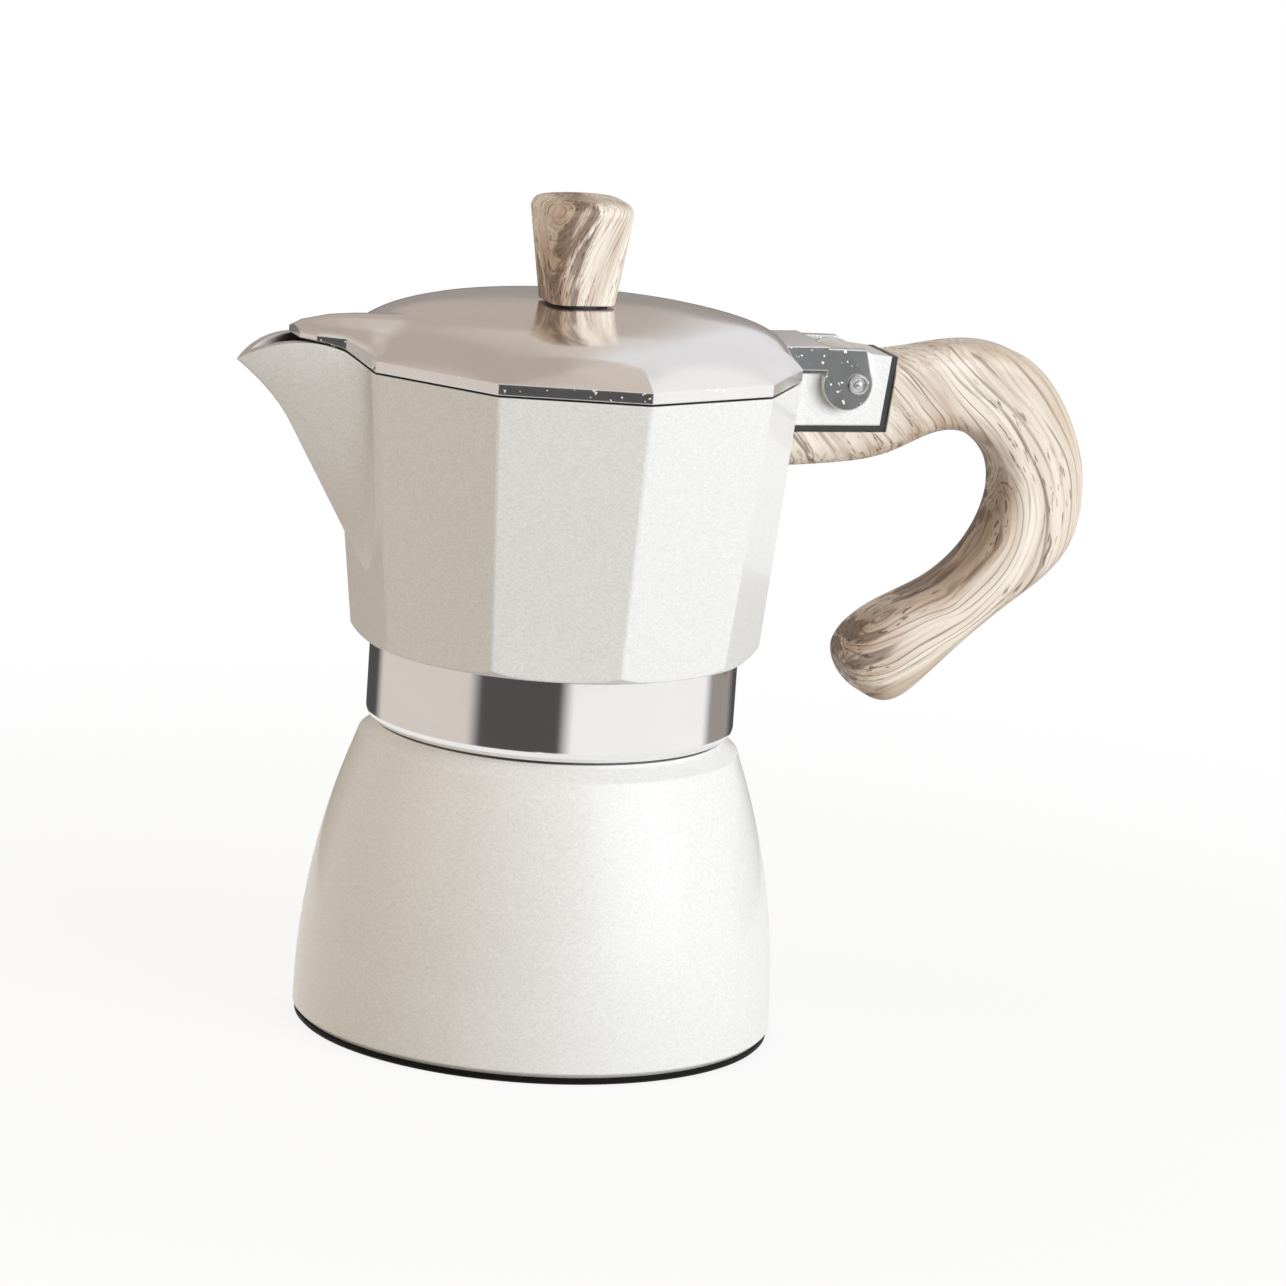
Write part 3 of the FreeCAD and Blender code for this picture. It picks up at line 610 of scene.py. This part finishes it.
def cross_screw(name, node, head_height):
    """Pan-head screw with its head down, a cross recess in it and its shank up, in a node's place."""
    low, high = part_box(node)
    head = (high[0] - low[0]) / 2
    top = high[2] - low[2]
    shank, tip_bevel, tip_length = 0.0019, 0.0005, 0.0006
    recess_length, recess_width, recess_depth = head * 1.25, head * 0.26, 0.0013
    recess_taper = 0.55
    piece = turned_piece(name, [
        (0.0, 0.0), (head * 0.35, 0.00006), (head * 0.7, 0.0003), (head * 0.92, 0.0008),
        (head, 0.0013), (head, head_height), (shank, head_height), (shank, top - tip_length),
        (shank - tip_bevel, top), (0.0, top),
    ])
    recess = bmesh.new()
    for turn in (0.0, math.radians(90)):
        bar = bmesh.ops.create_cube(recess, size=1.0)["verts"]
        size = Matrix.Diagonal((recess_length, recess_width, 2 * recess_depth, 1.0))
        bmesh.ops.transform(recess, matrix=Matrix.Rotation(turn, 4, "Z") @ size, verts=bar)
        for corner in bar:
            if corner.co.z > 0:
                corner.co.x *= recess_taper
                corner.co.y *= recess_taper
    cutter = placed(name + "_recess", mesh_of(name + "_recess", recess))
    cut = piece.modifiers.new("recess", "BOOLEAN")
    cut.object = cutter
    cut.use_self = True
    result = piece.evaluated_get(bpy.context.evaluated_depsgraph_get())
    drilled = bpy.data.meshes.new_from_object(result)
    piece.modifiers.clear()
    piece.data = drilled
    bpy.data.objects.remove(cutter)
    piece.data.transform(Matrix.Translation(((low[0] + high[0]) / 2, 0.0, low[2])))
    piece.data.materials.clear()
    piece.data.materials.append(drawn_steel)
    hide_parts(node)
    return piece


knob_screw_head = 0.0022
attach(cross_screw("knob_cross_screw", "knob_screw", knob_screw_head), "lid")


# Handle and its seat: a moulded bow with a printed wood grain that runs along it.
# A black seat lies between it and the hinge block, and one screw holds both from below.

handle_screw_head = 0.0020
dress("handle_seat", black_plastic)
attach(cross_screw("handle_cross_screw", "handle_screw", handle_screw_head), "upper")

# Middle line of the grain, (x, z): it falls across the top of the bow and turns out at the tip.
spine = [
    (0.0420, 0.1570), (0.0530, 0.1460), (0.0640, 0.1350), (0.0750, 0.1242), (0.0856, 0.1136),
    (0.0915, 0.1026), (0.0904, 0.0898), (0.0813, 0.0791), (0.0728, 0.0740), (0.0642, 0.0690),
    (0.0555, 0.0668), (0.0465, 0.0663), (0.0375, 0.0663),
]
spine_steps = 24
bow_cuts = 36
bow_crease = 0.5
bend_middle = (0.070, 0.0985)
tip_middle = (0.0555, 0.0700)

# A smooth curve through the spine's points, its direction and its length so far.
run = []
for corners in zip(spine, spine[1:], spine[2:], spine[3:]):
    for step in range(spine_steps):
        t = step / spine_steps
        pull = (
            -t + 2 * t ** 2 - t ** 3,
            2 - 5 * t ** 2 + 3 * t ** 3,
            t + 4 * t ** 2 - 3 * t ** 3,
            t ** 3 - t ** 2,
        )
        run.append([sum(w * p[k] for w, p in zip(pull, corners)) / 2 for k in (0, 1)])
run = np.array(run)
heading = np.gradient(run, axis=0)
heading /= np.linalg.norm(heading, axis=1)[:, None]
length = np.concatenate([[0.0], np.cumsum(np.linalg.norm(np.diff(run, axis=0), axis=1))])

# The solid's own faces are cut into small ones, so that each point can carry its place in the grain.
bow = bmesh.new()
bow.from_mesh(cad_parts["handle"].data)
bmesh.ops.remove_doubles(bow, verts=bow.verts, dist=1e-7)
low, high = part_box("handle")
for axis in (0, 2):
    for step in range(1, bow_cuts):
        cut = [0.0, 0.0, 0.0]
        cut[axis] = low[axis] + (high[axis] - low[axis]) * step / bow_cuts
        facing = [float(k == axis) for k in range(3)]
        everything = bow.verts[:] + bow.edges[:] + bow.faces[:]
        bmesh.ops.bisect_plane(bow, geom=everything, plane_co=cut, plane_no=facing)
soften(bow, bow_crease)
bow_mesh = mesh_of("handle_bow", bow)
points = np.zeros(len(bow_mesh.vertices) * 3)
bow_mesh.vertices.foreach_get("co", points)
points = points.reshape(-1, 3)
flat = points[:, (0, 2)]
nearest = ((flat[:, None, :] - run[None, :, :]) ** 2).sum(2).argmin(1)
offset = flat - run[nearest]
along = length[nearest] + (offset * heading[nearest]).sum(1)
across = offset[:, 1] * heading[nearest, 0] - offset[:, 0] * heading[nearest, 1]
grain = bow_mesh.attributes.new("grain", "FLOAT_VECTOR", "POINT")
grain_places = np.stack([along, across, points[:, 1]], 1).astype(np.float32)
grain.data.foreach_set("vector", grain_places.ravel())
handle_bow = placed("handle_bow", bow_mesh)


def side_distance(place, x, z):
    """Distance from a point of the pot's side view."""
    flat = stretched(place, 1, 0, 1)
    return flat.node("VectorMath", {"operation": "DISTANCE"}, {0: flat, 1: (x, 0, z)}, "Value")


def bow_grain(place):
    """The print is painted darker on the inside of the bend, at the tip and a little on the tongue:
    painted shade in the bend's hollow, by the chamber and under the hinge block.
    """
    # Painted shade: the inside of the bend, the tip by the chamber and the tongue under the hinge
    # block are painted darker.
    inside = fading(side_distance(place, *bend_middle), 0.0145, 0.0215)
    tip = fading(side_distance(place, *tip_middle), 0.0050, 0.0190)
    tongue = fading(axes(place)[0], 0.046, 0.062)
    dark = inside * 0.75 + tip * 1.05 + tongue * 0.3 - 0.22
    return place.node("Attribute", {"attribute_name": "grain"}, {}, "Vector"), dark


bow_mesh.materials.clear()
bow_mesh.materials.append(wood_print("bow_wood", bow_grain))
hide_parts("handle")
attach(handle_bow, "upper")


# Studio: a pale floor that runs to white, a warm even light all round, a window-like key
# lamp on the right with a fill and a back lamp, and cards that only polished metal shows.

white = (1.0, 1.0, 1.0, 1)
floor_bounce = (0.42, 0.39, 0.35, 1)
floor_seen = (0.95, 0.95, 0.95, 1)
floor_half = 6.0
floor_glow = 0.84
fade_start, fade_end = 0.06, 0.36
room_colour, room_strength = (1.0, 0.895, 0.775, 1), 0.38


def stage_finish(name):
    """An empty finish for a piece of the studio, and a link to build it from."""
    finish = bpy.data.materials.new(name)
    finish.use_nodes = True
    tree = finish.node_tree
    tree.nodes.clear()
    return finish, Link(tree)


def background_ray(start):
    """1 for the rays that see the background: from the camera, in metal and through clear pieces."""
    ray = start.node("LightPath", {}, {}, "Is Camera Ray")
    shine = start.node("LightPath", {}, {}, "Is Glossy Ray")
    clear = start.node("LightPath", {}, {}, "Is Transmission Ray")
    return either(either(ray, shine), clear)


floor_finish, start = stage_finish("pale_floor")
seen = background_ray(start)
dim = start.node("BsdfDiffuse", {}, {"Color": floor_bounce})
bright = start.node("BsdfDiffuse", {}, {"Color": floor_seen})
lit = start.node("MixShader", {}, {0: seen, 1: dim, 2: bright})
glow = start.node("Emission", {}, {"Color": white, "Strength": 1.0})
far = spread(axis_distance(start.node("TexCoord", output="Object")), fade_start, fade_end)
whitened = seen * (floor_glow + far * (1 - floor_glow))
surface = start.node("MixShader", {}, {0: whitened, 1: lit, 2: glow})
start.node("OutputMaterial", {}, {"Surface": surface})
floor_mesh = bpy.data.meshes.new("floor")
floor_corners = [(x * floor_half, y * floor_half, 0) for x, y in ((-1, -1), (1, -1), (1, 1), (-1, 1))]
floor_mesh.from_pydata(floor_corners, [], [(0, 1, 2, 3)])
floor_mesh.materials.append(floor_finish)
floor = placed("floor", floor_mesh)

world = bpy.data.worlds.new("studio")
bpy.context.scene.world = world
world.use_nodes = True
world.node_tree.nodes.clear()
start = Link(world.node_tree)
room = start.node("Background", {}, {"Color": room_colour, "Strength": room_strength})
backdrop = start.node("Background", {}, {"Color": white, "Strength": 1.0})
surface = start.node("MixShader", {}, {0: background_ray(start), 1: room, 2: backdrop})
start.node("OutputWorld", {}, {"Surface": surface})


def card(name, rows, stops):
    """Curved card round the pot. rows are (distance, height), and stops are (bearing, colour)."""
    turns = 96
    mesh = bpy.data.meshes.new(name)
    points = []
    for distance, height in rows:
        for step in range(turns):
            angle = math.pi + 2 * math.pi * step / turns
            points.append((distance * math.cos(angle), distance * math.sin(angle), height))
    faces = []
    for row in range(len(rows) - 1):
        low, high = row * turns, (row + 1) * turns
        for step in range(turns):
            after = (step + 1) % turns
            faces.append((low + step, low + after, high + after, high + step))
    mesh.from_pydata(points, [], faces)
    finish, start = stage_finish(name)
    ahead, aside, _ = axes(start.node("TexCoord", output="Object"))
    turn = aside.math("ARCTAN2", aside, ahead) * (0.5 / math.pi) + 0.5
    shares = [((bearing + 180) / 360, colour) for bearing, colour in stops]
    ramp = start.node("ValToRGB", {"stops": shares}, {0: turn})
    glow = start.node("Emission", {}, {"Color": ramp, "Strength": 1.0})
    start.node("OutputMaterial", {}, {"Surface": glow})
    mesh.materials.append(finish)
    screen = placed(name, mesh)
    screen.visible_camera = False
    screen.visible_diffuse = False
    screen.visible_shadow = False
    screen.visible_transmission = False


black = (0.085, 0.080, 0.079)
dusk = (0.34, 0.305, 0.285)
taupe = (0.51, 0.44, 0.395)
clay = (0.70, 0.62, 0.56)
beige = (0.72, 0.655, 0.615)
daylight = (0.86, 0.85, 0.87)
pale = (1.0, 1.0, 1.0)

# Distances and heights at which the cards meet.
near, wide, overhead = 0.20, 0.36, 0.25
collar_reach, far_top, back_top, roof_edge = 0.042, 0.190, 0.340, 0.620
card("low_card", [(near, 0.001), (near, collar_reach)], [
    (-180, beige), (-157, beige), (-149, black), (-104, black), (-96, pale), (-6, pale),
    (2, dusk), (26, dusk), (38, black), (119, black), (129, beige), (180, beige),
])
card("rim_card", [(near, collar_reach), (near, 0.125)], [
    (-180, beige), (-160, beige), (-146, black), (-51, black), (-47, pale), (38, pale),
    (50, dusk), (60, black), (119, black), (135, beige), (180, beige),
])
card("far_card", [(wide, 0.100), (wide, far_top)], [
    (-180, taupe), (-150, taupe), (-140, pale), (15, pale), (35, dusk), (100, dusk),
    (120, taupe), (180, taupe),
])
card("back_card", [(wide, far_top), (wide, back_top)], [
    (-180, taupe), (-150, taupe), (-140, pale), (15, pale), (40, daylight), (59, daylight),
    (67, taupe), (180, taupe),
])
card("top_card", [(wide, back_top), (overhead, roof_edge)], [
    (-180, taupe), (-150, taupe), (-140, clay), (-70, clay), (-50, pale), (15, pale), (40, daylight),
    (57, daylight), (68, clay), (95, taupe), (180, taupe),
])
card("roof_card", [(overhead, roof_edge), (0.10, 0.665), (0.005, 0.680)], [
    (-180, taupe), (-140, taupe), (-90, clay), (50, clay), (80, taupe), (180, taupe),
])


lamp_distance = 1.2
lamp_aim = Vector((0.0, 0.0, 0.08))


def soft_lamp(name, width, height, power, colour, bearing, elevation):
    """Soft rectangular lamp at a bearing and an elevation, turned to the pot."""
    lamp_data = bpy.data.lights.new(name, "AREA")
    lamp_data.shape = "RECTANGLE"
    lamp_data.size = width
    lamp_data.size_y = height
    lamp_data.energy = power
    lamp_data.color = colour
    lamp = placed(name, lamp_data)
    turn, rise = math.radians(bearing), math.radians(elevation)
    away = Vector((math.cos(turn) * math.cos(rise), math.sin(turn) * math.cos(rise), math.sin(rise)))
    lamp.location = lamp_aim + lamp_distance * away
    lamp.rotation_euler = (-away).to_track_quat("-Z", "Y").to_euler()
    return lamp


soft_lamp("key", 1.0, 0.9, 17.0, (0.87, 0.94, 1.0), -56, 12)
soft_lamp("fill", 0.8, 0.8, 4.7, (1.0, 0.90, 0.78), -180, 24)
soft_lamp("back", 1.0, 0.9, 4.5, (1.0, 0.97, 0.93), 95, 12).visible_glossy = False

# The camera stands where the photograph was taken from. The picture leans, so the camera is rolled.
camera_aim = Vector((0, 0, 0.075))
camera_distance = 1.2005
frame_right, frame_down = 0.01643, 0.00215
camera_data = bpy.data.cameras.new("camera")
camera_data.sensor_width = 36.0
camera_data.lens = 180.0
camera_data.clip_start = 0.05
camera = placed("camera", camera_data)
swing, lift, roll = math.radians(-19.3), math.radians(12.0), math.radians(3.75)
back = Vector((math.sin(swing) * math.cos(lift), -math.cos(swing) * math.cos(lift), math.sin(lift)))
right = (-back).cross(Vector((0, 0, 1))).normalized()
upward = right.cross(-back)
tilted_right = math.cos(roll) * right + math.sin(roll) * upward
tilted_up = -math.sin(roll) * right + math.cos(roll) * upward
middle = camera_aim + tilted_right * frame_right - tilted_up * frame_down
eye = camera_aim + back * camera_distance
look = (eye - middle).normalized()
level = tilted_up.cross(look).normalized()
turn = Matrix((level, look.cross(level), look)).transposed().to_4x4()
camera.matrix_world = Matrix.Translation(eye) @ turn
bpy.context.scene.camera = camera

bpy.context.scene.view_settings.view_transform = "Standard"
